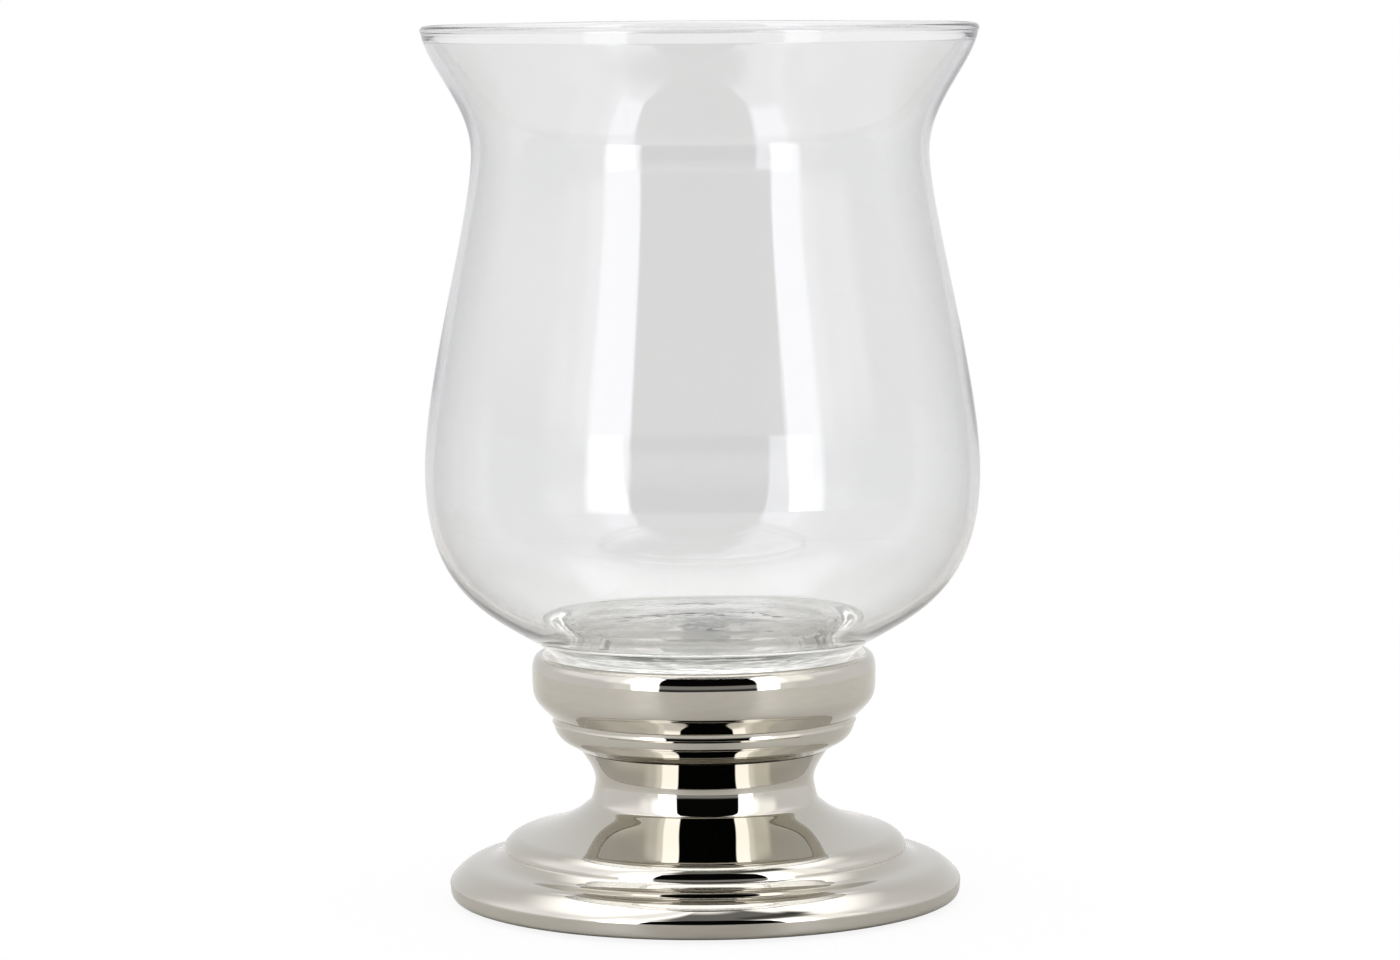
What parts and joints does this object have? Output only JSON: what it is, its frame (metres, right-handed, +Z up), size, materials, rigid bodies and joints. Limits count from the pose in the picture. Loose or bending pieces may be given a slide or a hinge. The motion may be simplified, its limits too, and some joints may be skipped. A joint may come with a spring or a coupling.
{
  "type": "hurricane candle holder",
  "caption": "Footed hurricane candle holder: a flared clear glass vessel with a thick base stands in the cup of a turned, plated metal pedestal and lifts out of it.",
  "frame": {"origin": "on the table top under the centre of the foot, at the underside of the felt pads", "axes": "+Z up along the axis that every piece is turned about, +Y away from the viewer of the picture, +X to the viewer's right"},
  "size_m": [0.1906, 0.1906, 0.3013],
  "materials": {
    "clear_glass": "clear blown glass, fire polished at the rim, smooth inside and out",
    "seat_silicone": "soft pale silicone, matte",
    "nickel_plate": "cast aluminium, turned, mirror polished and nickel plated, warm silver",
    "zinc_steel": "bright zinc plated steel fasteners",
    "foot_felt": "pressed grey felt"
  },
  "bodies": {
    "pedestal": {"pedestal_casting": "nickel_plate", "cup_casting": "nickel_plate", "glass_seat_pad": "seat_silicone", "tie_bolt": "zinc_steel", "head_washer": "zinc_steel", "clamp_washer": "zinc_steel", "spring_washer": "zinc_steel", "hex_nut": "zinc_steel", "felt_pad_1": "foot_felt", "felt_pad_2": "foot_felt", "felt_pad_3": "foot_felt", "felt_pad_4": "foot_felt"},
    "glass": {"hurricane_glass": "clear_glass"}
  },
  "joints": [
    {"name": "glass_lift", "type": "slide", "parent": "pedestal", "child": "glass", "axis": [0, 0, 1], "range_m": [0, 0.08]}
  ]
}
